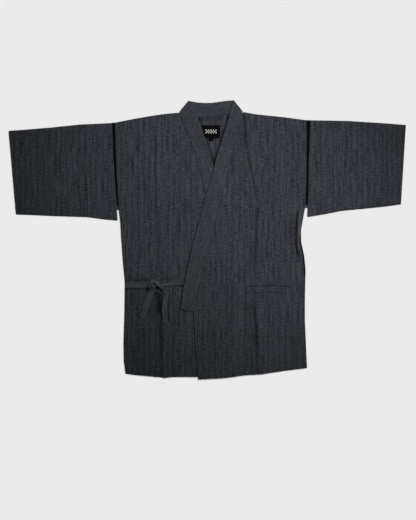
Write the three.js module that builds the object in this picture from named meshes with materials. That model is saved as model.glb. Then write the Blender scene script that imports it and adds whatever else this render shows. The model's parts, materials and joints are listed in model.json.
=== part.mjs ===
// Jinbei jacket laid flat on a table, left front over right front, tied at the wearer's right.
// Millimetres, +Z up, the table is z = 0. +X is the wearer's left, +Y runs from hem to collar.
// Every cloth piece is a wall of its own: it starts from its outline and is laid on what is below.
import * as THREE from 'three';
import { mergeVertices } from 'three/addons/utils/BufferGeometryUtils.js';

// ---- Driving dimensions ----
const CLOTH = 1.2; // one layer of crinkled cotton
const BAND = 2.0; // folded collar band
const TAPE = 1.6; // folded tie tape
const LABEL = 0.8; // woven label
const GAP = 0.3; // clearance between neighbours, and between one layer and the next
const FOLD_RADIUS = (CLOTH + GAP) / 2; // middle of the wall where a tube of cloth is folded flat
const TIE_WIDTH = 17;
const TIE_REACH = 14; // how far around a point a tie looks for what it has to clear
const COLLAR_REACH = 30; // the same for the collar
const CELL = 24; // largest cell of a panel's grid
const PANEL_REACH = CELL * 1.3; // the same for a panel
const SLEEVE_CELL_LONG = CELL * 1.4; // a sleeve's cells from cuff to body
const SLEEVE_CELL_ROUND = CELL * 2; // and round the arm
const NECK_EASE = 3; // the band stays this far from the neck points where it folds over

// ---- Outlines, mm: one row for each point that the shape needs ----
const outline = (...rows) => rows.map(([x, y]) => ({ x, y }));

// Neck points, where collar, fronts and back meet, and the folded corners of the collar above them.
const NECK_RIGHT = { x: -82, y: 366 };
const NECK_LEFT = { x: 104, y: 368 };
const CORNER_RIGHT = { x: -54, y: 400 };
const CORNER_LEFT = { x: 77, y: 401.5 };

// Wearer's right side, at negative x: side seam from the hem up, then the armhole to the shoulder.
const SIDE_RIGHT = outline(
  [-235, -385], [-240, -350], [-241, -300], [-238, -200], [-237, -122],
  [-243, -60], [-248, 10], [-250, 51], [-255, 93],
);
const ARMHOLE_RIGHT = outline([-255, 93], [-263, 235], [-266, 337]);
const SHOULDER_RIGHT = outline([-266, 337], [-210, 348], [-159, 357], [-124, 362], [-82, 366]);

// Wearer's left side, at positive x.
const SIDE_LEFT = outline(
  [288, -369], [286, -323], [282, -231], [282, -174], [284, -87],
  [280, -47], [271, -5], [271, 28], [278, 68], [284, 100],
);
const ARMHOLE_LEFT = outline([284, 100], [286, 235], [286, 344]);
const SHOULDER_LEFT = outline([286, 344], [221, 353], [170, 358], [135, 362], [104, 368]);

// Seam between the collar and each front, from the hem up: the free front edge below the collar first.
const COLLAR_SEAM_LEFT = outline(
  [-38, -208], [-34, -180], [-24, -135], [-13, -90], [0, -42], [12, 5], [24, 52], [36, 100],
  [50, 155], [62, 204], [75, 262], [82, 288], [91, 320], [99, 350], [104, 368],
);
const FRONT_EDGE_LEFT = outline([-25, -402], [-29, -367], [-33, -318], [-35, -274], [-37, -243]);
const COLLAR_SEAM_RIGHT = outline(
  [82, -184], [62, -110], [40, -30], [18, 52], [-2, 128], [-16, 180], [-24, 212], [-31, 240],
  [-44, 274], [-57, 305], [-68, 332], [-76, 352], [-82, 366],
);
const FRONT_EDGE_RIGHT = outline([78, -393], [80, -290]);

// Free edge of the collar, one point for each point of the seam that it faces.
const COLLAR_FREE_LEFT = outline(
  [-77, -201], [-75, -178], [-67, -129], [-58, -84], [-47, -34], [-34, 14], [-21, 62], [-8, 110],
  [8, 164], [21, 215], [38, 275], [46, 300], [57, 332], [65, 362],
);
const COLLAR_FREE_RIGHT = outline(
  [125, -176], [104, -99], [82, -19], [60, 64], [40, 139], [24, 190], [16, 220], [8, 250],
  [-5, 290], [-17, 324], [-28, 357], [-43, 388],
);
const NECK_SEAM = outline(
  [-60, 356], [-36, 351.5], [-12, 350], [14, 353], [37, 357], [54, 360], [80, 364],
);
const NECK_FREE = outline(
  [-40, 397.5], [-28, 395], [-12, 394], [10, 393.5], [30, 396], [47, 399], [63, 400.5],
);

// Hems, from the wearer's right to left. The back hem stays just above the fronts that hide it.
const HEM_RIGHT = outline(
  [-235, -385], [-210, -389], [-141, -395], [-124, -398], [-107, -395], [-28, -395], [78, -393],
);
const HEM_LEFT = outline([-25, -402], [49, -398], [118, -389], [152, -388], [204, -380], [288, -369]);
const HEM_BACK = outline(
  [-235, -382], [-141, -391], [-28, -392], [60, -393], [118, -386], [204, -377], [288, -366],
);

// Sleeves: cuff from the underarm side up, bottom and top edges from the cuff to the body.
const SLEEVE_RIGHT = {
  cuff: outline([-550, 73], [-571, 313]),
  armhole: outline([-257.5, 55], [-260, 93], [-270, 235], [-273.5, 336]),
  bottom: outline([-550, 73], [-440, 68], [-346, 65], [-294, 58], [-257.5, 55]),
  top: outline([-571, 313], [-450, 323], [-363, 332], [-273.5, 336]),
};
const SLEEVE_LEFT = {
  cuff: outline([558, 102], [572, 330]),
  armhole: outline([289, 65], [290, 100], [293, 235], [296.5, 344]),
  bottom: outline([558, 102], [509, 95], [440, 88], [388, 83], [337, 73], [289, 65]),
  top: outline([572, 330], [527, 334], [475, 337.5], [406, 342], [296.5, 344]),
};
const INSET_RIGHT_ENDS = [86, 93, 235, 337]; // heights of the lace strip's rings, from the underarm up
const INSET_LEFT_ENDS = [92, 100, 235, 344];

// Pressed folds left by packing: x along y, height of the ridge and half its width.
const CREASE_RIGHT = {
  path: outline([-124, -398], [-131, -300], [-133, -150], [-130, 100], [-128, 362]),
  rise: 2.2,
  half: 14,
};
const CREASE_LEFT = {
  path: outline([150, -388], [143, -223], [140, 0], [145, 162], [124, 230], [126, 362]),
  rise: 2.0,
  half: 14,
};
const CREASE_SLEEVE_RIGHT = { path: outline([-346, 65], [-348, 333]), rise: 1.4, half: 16 };
const CREASE_SLEEVE_LEFT = { path: outline([376, 82], [372, 343]), rise: 1.4, half: 16 };

const POCKET = { left: 108, right: 256, top: -135, topMiddle: -131, bottom: -282 };
const LABEL_BOX = { left: -15, right: 37, bottom: 292.6, top: 329 };
const SIZE_TAB = { left: 6, right: 18, bottom: 284.5, top: 292.3 };
const KNOT = { x: -151, y: -131, halfLength: 15, halfWidth: 11, halfHeight: 4.5 };

// Tie tapes: x, y and width at each point. The side tie comes from the seam, the front tie from the collar.
const TIE_SIDE = [[-235, -131, TIE_WIDTH], [-200, -130, TIE_WIDTH], [-167, -131, TIE_WIDTH - 1]];
const TIE_SIDE_TAIL = [[-160, -145, TIE_WIDTH - 2], [-175, -183, TIE_WIDTH], [-190, -226, TIE_WIDTH - 1]];
const TIE_FRONT = [[-134, -131, 7], [-100, -126, 14], [-70, -123, TIE_WIDTH]];
const TIE_FRONT_TAIL = [
  [-137, -139.5, 9], [-119, -153, 10], [-116, -172, 15], [-120, -241, TIE_WIDTH],
];

// ---- Points along an outline ----
const mix = (a, b, t) => a + (b - a) * t;
const mixPoint = (p, q, t) => ({ x: mix(p.x, q.x, t), y: mix(p.y, q.y, t) });
const distance = (p, q) => Math.hypot(q.x - p.x, q.y - p.y);

/** Length of a polyline up to each of its points. */
function lengths(points) {
  const reached = [0];
  for (let i = 1; i < points.length; i += 1) {
    reached.push(reached[i - 1] + distance(points[i - 1], points[i]));
  }
  return reached;
}

/** Fraction of a polyline's length at each of its points. */
function shares(points) {
  const reached = lengths(points);
  return reached.map((length) => length / reached[reached.length - 1]);
}

/** Point at the fraction t of a polyline's length. */
function along(points, t) {
  const reached = shares(points);
  const last = points.length - 1;
  const i = reached.findIndex((share, k) => k > 0 && (share >= t || k === last));
  return mixPoint(points[i - 1], points[i], (t - reached[i - 1]) / (reached[i] - reached[i - 1]));
}

/** x of a path that climbs in y, at one height. */
function xAt(path, y) {
  const last = path.length - 1;
  const i = path.findIndex((p, k) => k > 0 && (p.y >= y || k === last));
  const t = (y - path[i - 1].y) / (path[i].y - path[i - 1].y);
  return mix(path[i - 1].x, path[i].x, THREE.MathUtils.clamp(t, 0, 1));
}

/** Grid lines that meet every point of two facing edges, no further apart than `step`. */
function gridLines(edgeA, edgeB, step = CELL) {
  const closest = 0.004; // points nearer than this share of the edge make one line
  const lines = [...shares(edgeA), ...shares(edgeB)].sort((a, b) => a - b).filter((share, i, all) => {
    if (share === 1) return i === all.length - 1;
    return i === 0 || share - all[i - 1] > closest;
  });
  const length = Math.max(...[edgeA, edgeB].map((edge) => lengths(edge).pop()));
  return lines.flatMap((share, i) => {
    if (i === 0) return [share];
    const parts = Math.max(1, Math.round(((share - lines[i - 1]) * length) / step));
    return Array.from({ length: parts }, (_, k) => mix(lines[i - 1], share, (k + 1) / parts));
  });
}

/** Flat patch between four edges: u runs from left to right, v from bottom to top. */
function patch({ left, right, bottom, top }) {
  return (u, v) => {
    const [l, r, b, t] = [along(left, v), along(right, v), along(bottom, u), along(top, u)];
    const low = mixPoint(bottom[0], bottom[bottom.length - 1], u);
    const high = mixPoint(top[0], top[top.length - 1], u);
    const corners = mixPoint(low, high, v);
    return {
      x: mix(l.x, r.x, u) + mix(b.x, t.x, v) - corners.x,
      y: mix(l.y, r.y, u) + mix(b.y, t.y, v) - corners.y,
    };
  };
}

/** Height of a pressed fold over a point. */
function creaseHeight(crease, p) {
  if (!crease) return 0;
  const off = Math.abs(p.x - xAt(crease.path, p.y)) / crease.half;
  return off < 1 ? crease.rise * (1 - off) : 0;
}

// ---- Closed walls ----
/** Closes two matching grids of points, the inner and the outer face, into one wall. */
function wall(inner, outer, loops = false) {
  const rows = inner.length;
  const cols = inner[0].length;
  const position = [...inner.flat(), ...outer.flat()].flatMap((p) => [p.x, p.y, p.z]);
  const low = (i, j) => (i % rows) * cols + j;
  const high = (i, j) => rows * cols + low(i, j);
  const index = [];
  const quad = (a, b, c, d) => index.push(a, b, c, a, c, d);
  const lastRow = loops ? rows : rows - 1;
  for (let i = 0; i < lastRow; i += 1) {
    for (let j = 0; j < cols - 1; j += 1) {
      quad(high(i, j), high(i, j + 1), high(i + 1, j + 1), high(i + 1, j));
      quad(low(i, j), low(i + 1, j), low(i + 1, j + 1), low(i, j + 1));
    }
    quad(low(i + 1, 0), low(i, 0), high(i, 0), high(i + 1, 0));
    quad(low(i, cols - 1), low(i + 1, cols - 1), high(i + 1, cols - 1), high(i, cols - 1));
  }
  for (let j = 0; j < cols - 1 && !loops; j += 1) {
    quad(low(0, j), low(0, j + 1), high(0, j + 1), high(0, j));
    quad(low(lastRow, j + 1), low(lastRow, j), high(lastRow, j), high(lastRow, j + 1));
  }
  const geometry = new THREE.BufferGeometry();
  geometry.setAttribute('position', new THREE.Float32BufferAttribute(position, 3));
  geometry.setIndex(index);
  return geometry;
}

/** Triangles of a geometry seen from above: one corner, the two edges from it, and twice the area. */
function trianglesOf(geometry) {
  const position = geometry.getAttribute('position');
  const smallest = 1e-6; // upright triangles have no area from above
  const corners = Array.from({ length: position.count }, (_, i) => (
    new THREE.Vector3().fromBufferAttribute(position, i)));
  const index = [...geometry.getIndex().array];
  const triangles = [];
  for (let i = 0; i < index.length; i += 3) {
    const [a, b, c] = index.slice(i, i + 3).map((k) => corners[k]);
    const [ab, ac] = [b.clone().sub(a), c.clone().sub(a)];
    const area = ab.x * ac.y - ab.y * ac.x;
    if (Math.abs(area) > smallest) triangles.push({ a, ab, ac, area });
  }
  return triangles;
}

/** Height of the highest of some triangles over a point, or -1 where there is none. */
function topAt(triangles, x, y) {
  let top = -1;
  for (const { a, ab, ac, area } of triangles) {
    const s = ((x - a.x) * ac.y - (y - a.y) * ac.x) / area;
    const t = (ab.x * (y - a.y) - ab.y * (x - a.x)) / area;
    if (s >= 0 && t >= 0 && s + t <= 1) top = Math.max(top, a.z + s * ab.z + t * ac.z);
  }
  return top;
}

/** Lowest height at which cloth clears the geometries below it, everywhere within reach of a point. */
function restOn(below, p, reach) {
  const turns = 12;
  const rings = [0, 0.33, 0.67, 1]; // of the reach, from the point itself outwards
  const supports = below.map((geometry) => (geometry.userData.triangles ??= trianglesOf(geometry)));
  let height = 0;
  for (const ring of rings) {
    for (let turn = 0; turn < (ring > 0 ? turns : 1); turn += 1) {
      const angle = (turn / turns) * Math.PI * 2;
      const x = p.x + Math.cos(angle) * reach * ring;
      const y = p.y + Math.sin(angle) * reach * ring;
      for (const triangles of supports) height = Math.max(height, topAt(triangles, x, y) + GAP);
    }
  }
  return height;
}

/** A flat-laid panel, with three columns of its grid on the pressed fold where it has one. */
function panel({ edges, below, crease = null }) {
  const shape = patch(edges);
  const columns = gridLines(edges.bottom, edges.top);
  const rows = gridLines(edges.left, edges.right);
  const grid = rows.map((v) => {
    const [l, r] = [shape(0, v), shape(1, v)];
    let places = columns;
    if (crease) {
      const middle = (xAt(crease.path, (l.y + r.y) / 2) - l.x) / (r.x - l.x);
      const side = crease.half / (r.x - l.x);
      const half = Math.ceil(columns.length / 2);
      const spread = (from, to) => Array.from({ length: half }, (_, k) => mix(from, to, k / (half - 1)));
      places = [...spread(0, middle - side), middle, ...spread(middle + side, 1)];
    }
    return places.map((u) => {
      const p = shape(u, v);
      return { ...p, z: restOn(below, p, PANEL_REACH) + creaseHeight(crease, p) };
    });
  });
  return wall(grid, grid.map((row) => row.map((p) => ({ ...p, z: p.z + CLOTH }))));
}

/** A flat plate on an outline, for labels and the plain back. */
function plate(points, bottom, thick) {
  const shape = new THREE.Shape(points.map((p) => new THREE.Vector2(p.x, p.y)));
  const geometry = new THREE.ExtrudeGeometry(shape, { depth: thick, bevelEnabled: false });
  geometry.deleteAttribute('uv');
  geometry.deleteAttribute('normal');
  return mergeVertices(geometry.translate(0, 0, bottom));
}

const rectangle = ({ left, right, bottom, top }) => (
  outline([left, bottom], [right, bottom], [right, top], [left, top]));

/** A band through sections: its two edges, the way its face looks, and its thickness. */
function band(sections, thick) {
  const face = (side) => sections.map(({ a, b, facing }) => [a, b].map((p) => (
    new THREE.Vector3(p.x, p.y, p.z).addScaledVector(facing, (side * thick) / 2))));
  return wall(face(-1), face(1));
}

/** A tube of cloth folded flat, or a strip folded over its top edge if it is open. */
function flatTube({ edges, crease = null, open = false }) {
  const shape = patch(edges);
  const stations = gridLines(edges.bottom, edges.top, SLEEVE_CELL_LONG);
  const climb = gridLines(edges.left, edges.right, SLEEVE_CELL_ROUND);
  const low = CLOTH / 2;
  const inner = [];
  const outer = [];
  /** One ring line: v across the tube and the angle at which the wall faces, 0 being up. */
  const line = (v, turn) => {
    const angle = THREE.MathUtils.degToRad(turn);
    const n = { y: Math.sin(angle), z: Math.cos(angle) };
    const atFold = v === 0 || v === 1;
    const points = stations.map((u) => {
      const p = shape(u, v);
      const back = atFold ? (FOLD_RADIUS + low) * (1 - 2 * v) : 0;
      const lift = turn === 0 ? creaseHeight(crease, p) : 0;
      return { x: p.x, y: p.y + back + FOLD_RADIUS * n.y, z: low + FOLD_RADIUS * (1 + n.z) + lift };
    });
    inner.push(points.map((p) => ({ x: p.x, y: p.y - n.y * low, z: p.z - n.z * low })));
    outer.push(points.map((p) => ({ x: p.x, y: p.y + n.y * low, z: p.z + n.z * low })));
  };
  climb.forEach((v) => line(v, 0));
  [45, 90, 135].forEach((turn) => line(1, turn));
  [...climb].reverse().forEach((v) => line(v, 180));
  if (!open) [225, 270, 315].forEach((turn) => line(0, turn));
  return wall(inner, outer, !open);
}

// ---- Body ----
const frontRightEdges = {
  left: [...SIDE_RIGHT, ...ARMHOLE_RIGHT.slice(1)],
  right: [...FRONT_EDGE_RIGHT, ...COLLAR_SEAM_RIGHT],
  bottom: HEM_RIGHT,
  top: SHOULDER_RIGHT,
};
const frontLeftEdges = {
  left: [...FRONT_EDGE_LEFT, ...COLLAR_SEAM_LEFT],
  right: [...SIDE_LEFT, ...ARMHOLE_LEFT.slice(1)],
  bottom: HEM_LEFT,
  top: [...SHOULDER_LEFT].reverse(),
};
const backOutline = [
  ...HEM_BACK, ...SIDE_LEFT.slice(1), ...ARMHOLE_LEFT.slice(1), ...SHOULDER_LEFT.slice(1),
  ...[...NECK_SEAM].reverse(), ...[...SHOULDER_RIGHT].reverse(),
  ...[...ARMHOLE_RIGHT].reverse().slice(1), ...[...SIDE_RIGHT].reverse().slice(1, -1),
];
const back = plate(backOutline, 0, CLOTH);
const label = plate(rectangle(LABEL_BOX), CLOTH + GAP, LABEL);
const sizeTab = plate(rectangle(SIZE_TAB), CLOTH + GAP, LABEL);
const frontRight = panel({ edges: frontRightEdges, below: [back], crease: CREASE_RIGHT });

// ---- Collar: one folded band, from its hidden end on the right front round the neck to the left end ----
const UP = new THREE.Vector3(0, 0, 1);
const DOWN = new THREE.Vector3(0, 0, -1);

/** Sections of a stretch of the band: seam and free points face each other in pairs. */
function stretch(seam, free, facing, below) {
  return seam.map((p, i) => {
    const inset = mixPoint(p, free[i], GAP / distance(p, free[i]));
    const [a, b] = [inset, free[i]].map((q) => ({ ...q, z: restOn(below, q, COLLAR_REACH) + BAND / 2 }));
    return { a, b, facing };
  });
}

/** Sections of the fold above a neck point, from the upper layer (0 degrees) to the lower (180). */
function neckFold(neck, corner, turns) {
  const reach = distance(neck, corner);
  const away = Math.sign(neck.x) / reach;
  const out = new THREE.Vector3(corner.y - neck.y, neck.x - corner.x, 0).multiplyScalar(away);
  const radius = (BAND + GAP) / 2;
  const start = mixPoint(neck, corner, NECK_EASE / reach);
  return turns.map((turn) => {
    const angle = THREE.MathUtils.degToRad(turn);
    const facing = out.clone().multiplyScalar(Math.sin(angle)).addScaledVector(UP, Math.cos(angle));
    const shift = radius * Math.sin(angle) - radius - BAND / 2;
    const z = BAND / 2 + radius * (1 + Math.cos(angle));
    const place = (p) => ({ x: p.x + out.x * shift, y: p.y + out.y * shift, z });
    return { a: place(start), b: place(corner), facing };
  });
}

const foldTurns = [0, 45, 90, 135, 180];
const backBand = [
  ...neckFold(NECK_RIGHT, CORNER_RIGHT, [180]),
  ...stretch(NECK_SEAM, NECK_FREE, DOWN, []),
  ...neckFold(NECK_LEFT, CORNER_LEFT, [180]),
];
const backBandSolid = band(backBand, BAND);
const underCollar = stretch(COLLAR_SEAM_RIGHT.slice(0, -1), COLLAR_FREE_RIGHT, UP,
  [back, label, sizeTab, backBandSolid]);
const underCollarSolid = band(underCollar, BAND);
const overCollar = stretch(COLLAR_SEAM_LEFT.slice(0, -1), COLLAR_FREE_LEFT, UP,
  [back, label, backBandSolid, frontRight, underCollarSolid]).reverse();
const collar = band([
  ...underCollar,
  ...neckFold(NECK_RIGHT, CORNER_RIGHT, foldTurns),
  ...backBand.slice(1, -1),
  ...neckFold(NECK_LEFT, CORNER_LEFT, [...foldTurns].reverse()),
  ...overCollar,
], BAND);
const frontLeft = panel({
  edges: frontLeftEdges,
  below: [back, frontRight, underCollarSolid],
  crease: CREASE_LEFT,
});

// ---- Pocket, lying on the left front ----
const pocketMiddle = (POCKET.left + POCKET.right) / 2;
const pocket = panel({
  edges: {
    left: outline([POCKET.left, POCKET.bottom], [POCKET.left, POCKET.top]),
    right: outline([POCKET.right, POCKET.bottom], [POCKET.right, POCKET.top]),
    bottom: outline([POCKET.left, POCKET.bottom], [POCKET.right, POCKET.bottom]),
    top: outline([POCKET.left, POCKET.top], [pocketMiddle, POCKET.topMiddle], [POCKET.right, POCKET.top]),
  },
  below: [frontLeft],
});

// ---- Lace strips between body and sleeves, folded over the shoulder ----
/** Edges of the strip between two paths that both climb in y. */
function stripEdges(leftPath, rightPath, heights) {
  const left = heights.map((y) => ({ x: xAt(leftPath, y) + GAP, y }));
  const right = heights.map((y) => ({ x: xAt(rightPath, y) - GAP, y }));
  const last = heights.length - 1;
  return { left, right, bottom: [left[0], right[0]], top: [left[last], right[last]] };
}
const insetRight = flatTube({
  edges: stripEdges(SLEEVE_RIGHT.armhole, frontRightEdges.left, INSET_RIGHT_ENDS),
  open: true,
});
const insetLeft = flatTube({
  edges: stripEdges(frontLeftEdges.right, SLEEVE_LEFT.armhole, INSET_LEFT_ENDS),
  open: true,
});

// ---- Sleeves ----
const sleeveRight = flatTube({
  edges: {
    left: SLEEVE_RIGHT.cuff,
    right: SLEEVE_RIGHT.armhole,
    bottom: SLEEVE_RIGHT.bottom,
    top: SLEEVE_RIGHT.top,
  },
  crease: CREASE_SLEEVE_RIGHT,
});
const sleeveLeft = flatTube({
  edges: {
    left: SLEEVE_LEFT.armhole,
    right: SLEEVE_LEFT.cuff,
    bottom: [...SLEEVE_LEFT.bottom].reverse(),
    top: [...SLEEVE_LEFT.top].reverse(),
  },
  crease: CREASE_SLEEVE_LEFT,
});

// ---- Ties ----
/** A flat tape laid along points, each with its own width. */
function tape(rows) {
  const points = rows.map(([x, y, width]) => ({ x, y, width }));
  const sections = points.map((p, i) => {
    const [before, after] = [points[Math.max(0, i - 1)], points[Math.min(points.length - 1, i + 1)]];
    const length = distance(before, after);
    const across = { x: (after.y - before.y) / length, y: (before.x - after.x) / length };
    const z = restOn([frontRight], p, TIE_REACH) + TAPE / 2;
    const edge = (side) => {
      const reach = (side * p.width) / 2;
      return { x: p.x + across.x * reach, y: p.y + across.y * reach, z };
    };
    return { a: edge(-1), b: edge(1), facing: UP };
  });
  return band(sections, TAPE);
}

const KNOT_FACETS = { round: 16, up: 10 };
const knot = new THREE.SphereGeometry(1, KNOT_FACETS.round, KNOT_FACETS.up);
knot.scale(KNOT.halfLength, KNOT.halfWidth, KNOT.halfHeight);
knot.translate(KNOT.x, KNOT.y, restOn([frontRight], KNOT, TIE_REACH) + KNOT.halfHeight);

// ---- The jacket ----
const cloth = { color: 0x33353b, roughness: 0.95, metalness: 0 };
const dark = { color: 0x0c0c0e, roughness: 0.9, metalness: 0 };
const pieces = [
  ['back', back, cloth],
  ['front_right', frontRight, cloth],
  ['front_left', frontLeft, cloth],
  ['collar', collar, cloth],
  ['sleeve_right', sleeveRight, cloth],
  ['sleeve_left', sleeveLeft, cloth],
  ['inset_right', insetRight, dark],
  ['inset_left', insetLeft, dark],
  ['pocket', pocket, cloth],
  ['tie_side', tape(TIE_SIDE), cloth],
  ['tie_side_tail', tape(TIE_SIDE_TAIL), cloth],
  ['tie_front', tape(TIE_FRONT), cloth],
  ['tie_front_tail', tape(TIE_FRONT_TAIL), cloth],
  ['tie_knot', knot, cloth],
  ['label', label, dark],
  ['size_tab', sizeTab, dark],
];
const jacket = new THREE.Group();
for (const [name, geometry, finish] of pieces) {
  const mesh = new THREE.Mesh(geometry, new THREE.MeshStandardMaterial(finish));
  mesh.name = name;
  jacket.add(mesh);
}

export default jacket;
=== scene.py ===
import json
import math

import bpy
import numpy as np
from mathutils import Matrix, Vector

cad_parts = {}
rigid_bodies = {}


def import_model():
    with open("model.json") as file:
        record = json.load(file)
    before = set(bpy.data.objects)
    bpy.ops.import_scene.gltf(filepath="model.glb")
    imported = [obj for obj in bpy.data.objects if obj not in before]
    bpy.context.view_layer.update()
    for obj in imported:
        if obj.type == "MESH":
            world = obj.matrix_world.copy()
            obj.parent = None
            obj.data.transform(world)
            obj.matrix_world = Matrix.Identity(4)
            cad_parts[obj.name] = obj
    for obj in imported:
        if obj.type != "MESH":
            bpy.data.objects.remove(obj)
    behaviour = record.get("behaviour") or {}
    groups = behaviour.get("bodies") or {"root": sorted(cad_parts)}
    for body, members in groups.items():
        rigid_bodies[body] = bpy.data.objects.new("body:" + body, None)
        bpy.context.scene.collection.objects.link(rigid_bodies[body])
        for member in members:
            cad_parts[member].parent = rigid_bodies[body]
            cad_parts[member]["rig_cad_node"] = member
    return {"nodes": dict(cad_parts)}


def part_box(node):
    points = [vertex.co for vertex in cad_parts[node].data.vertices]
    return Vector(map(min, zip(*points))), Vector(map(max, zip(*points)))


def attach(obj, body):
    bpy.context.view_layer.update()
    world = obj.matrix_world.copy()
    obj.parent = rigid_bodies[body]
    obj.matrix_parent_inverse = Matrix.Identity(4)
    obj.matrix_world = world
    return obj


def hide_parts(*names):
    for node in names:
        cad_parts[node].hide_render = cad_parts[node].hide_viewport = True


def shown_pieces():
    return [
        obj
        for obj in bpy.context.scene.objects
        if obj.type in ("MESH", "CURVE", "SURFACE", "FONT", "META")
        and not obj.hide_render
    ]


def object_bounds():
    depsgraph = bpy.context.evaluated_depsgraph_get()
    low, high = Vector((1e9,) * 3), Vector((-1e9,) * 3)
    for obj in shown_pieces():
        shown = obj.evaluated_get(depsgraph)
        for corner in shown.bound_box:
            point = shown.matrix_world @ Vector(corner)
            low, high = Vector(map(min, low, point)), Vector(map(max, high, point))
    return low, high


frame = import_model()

MM = 0.001
cad_low, cad_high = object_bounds()

# ---- Driving sizes ----
CLOTH = 0.9  # one layer of crinkled cotton
BAND = 1.7  # folded collar band
TAPE = 1.1  # folded tie tape
GAP = 0.25  # between one layer and the next
STEP = 3.0  # grid of the fine cloth
FINE = (2.1, 3.9)  # the fronts' grid, finer across their long folds
LACE_THICK = 0.8
LABEL_THICK = 0.7
EDGE_IN = 0.1  # an edge stays this far inside the outline of its solid
BAND_WIDTH = 44  # collar band, from its seam to its free edge
SEWN = 0.45  # share of the band's thickness at its seam
HEM = 17.0  # folded hem of the body
CUFF_HEM = 22.0
MOUTH_HEM = 22.0  # folded hem at the pocket's mouth
TURN_IN = 2.8  # the back stays this far inside the edges over which the fronts are folded
UNDERARM_JOIN = 9.0  # plain cloth below each lace strip
LAND_CELL = 2.0  # grid on which layers come to rest
WEAVE_UNIT = 100  # millimetres of cloth in one unit of its UV map


# ---- Camera: looks straight down on the table ----
def make_camera():
    lens, sensor, view_height = 85.0, 36.0, 1.4976
    beside_centre, below_centre = 0.0021, -0.0583
    centre = (cad_low + cad_high) / 2
    data = bpy.data.cameras.new("camera")
    data.lens, data.sensor_width = lens, sensor
    camera = bpy.data.objects.new("camera", data)
    camera.location = (centre.x + beside_centre, centre.y + below_centre, lens / sensor * view_height)
    bpy.context.scene.collection.objects.link(camera)
    bpy.context.scene.camera = camera


make_camera()


# ---- Outlines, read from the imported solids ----
def outline_of(node):
    """Outline of a node seen from above, counterclockwise: the widest loop round its upward faces."""
    mesh = frame["nodes"][node].data
    points = np.array([v.co for v in mesh.vertices]) / MM
    unique, same = np.unique(np.round(points, 2), axis=0, return_inverse=True)
    same = same.ravel()
    follow = set()
    for polygon in mesh.polygons:
        if polygon.normal.z < 0.2:
            continue
        ring = [int(same[v]) for v in polygon.vertices]
        for a, b in zip(ring, ring[1:] + ring[:1]):
            if (b, a) in follow:
                follow.discard((b, a))
            else:
                follow.add((a, b))
    following = dict(follow)
    loops = []
    while following:
        start, at = following.popitem()
        loop = [start]
        while at != start:
            loop.append(at)
            at = following.pop(at)
        loops.append(unique[loop][:, :2])

    def area(loop):
        ahead = np.roll(loop, -1, axis=0)
        return 0.5 * np.sum(loop[:, 0] * ahead[:, 1] - ahead[:, 0] * loop[:, 1])

    return max(loops, key=area)


DIAGONALS = ((-1, -1), (1, -1), (1, 1), (-1, 1))
UNDER_CORNERS = ((-1, -1), (1, -1), (0.2, 1), (-1, 1))  # of the right front, which lies under
OVER_CORNERS = ((-1, -2), (1, -1), (1, 1), (-0.3, 1))  # of the left front, which lies over


def edges_of(node, corners=DIAGONALS):
    """The outline's four edges, between the points furthest along four directions, from bottom left round."""
    loop = outline_of(node)
    at = [int(np.argmax(loop @ np.array(direction, float))) for direction in corners]

    def run(start, end):
        count = (end - start) % len(loop)
        return loop[(start + np.arange(count + 1)) % len(loop)]

    return {
        "bottom": run(at[0], at[1]),
        "right": run(at[1], at[2]),
        "top": run(at[2], at[3])[::-1],
        "left": run(at[3], at[0])[::-1],
    }


def lengths(points):
    return np.concatenate([[0], np.cumsum(np.linalg.norm(np.diff(points, axis=0), axis=1))])


def point_at(points, shares):
    """Points at fractions of a polyline's length."""
    reached = lengths(points)
    at = np.asarray(shares) * reached[-1]
    return np.stack([np.interp(at, reached, points[:, k]) for k in range(points.shape[1])], axis=-1)


def grid_shares(length, step=STEP, inset=0.0):
    """Fractions of an edge, closer together next to both of its ends so that rolled edges are round."""
    close = [0, 0.4, 1.0, 1.8, 2.8]
    inner = np.linspace(inset + close[-1], length - inset - close[-1], max(2, round(length / step)))
    start = [inset + d for d in close[:-1]]
    return np.concatenate([start, inner, [length - d for d in reversed(start)]]) / length


def patch(edges, across, along):
    """Points of a flat patch between four edges: rows climb along it, columns run across it."""
    bottom, top = point_at(edges["bottom"], across), point_at(edges["top"], across)
    left, right = point_at(edges["left"], along), point_at(edges["right"], along)
    u, v = across[None, :, None], along[:, None, None]
    ends = [edges["bottom"][0], edges["bottom"][-1], edges["top"][0], edges["top"][-1]]
    corners = (1 - v) * ((1 - u) * ends[0] + u * ends[1]) + v * ((1 - u) * ends[2] + u * ends[3])
    return (1 - v) * bottom + v * top + (1 - u) * left[:, None] + u * right[:, None] - corners


# ---- Heights ----
land_from = np.array([cad_low.x, cad_low.y]) / MM - 20
land_size = np.ceil((np.array([cad_high.x, cad_high.y]) / MM + 20 - land_from) / LAND_CELL).astype(int) + 1
land = np.zeros((land_size[1], land_size[0]))


def spread(field, cells):
    """Highest value within a square of cells."""
    for axis in (0, 1):
        wide = field.copy()
        for shift in range(1, cells + 1):
            for way in (shift, -shift):
                wide = np.maximum(wide, np.roll(field, way, axis=axis))
        field = wide
    return field


def blur(field, cells):
    for axis in (0, 1):
        field = sum(np.roll(field, shift, axis=axis) for shift in range(-cells, cells + 1)) / (2 * cells + 1)
    return field


def draped(reach):
    """The land as a cloth bridges it, never below what lies there."""
    cells = max(1, round(reach / LAND_CELL))
    return blur(spread(land, cells), cells)


def cells_of(x, y):
    return (x - land_from[0]) / LAND_CELL, (y - land_from[1]) / LAND_CELL


def sample(field, x, y):
    gx, gy = cells_of(x, y)
    i, j = np.clip(gy.astype(int), 0, field.shape[0] - 2), np.clip(gx.astype(int), 0, field.shape[1] - 2)
    fy, fx = np.clip(gy - i, 0, 1), np.clip(gx - j, 0, 1)
    low = field[i, j] * (1 - fx) + field[i, j + 1] * fx
    high = field[i + 1, j] * (1 - fx) + field[i + 1, j + 1] * fx
    return low * (1 - fy) + high * fy


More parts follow.
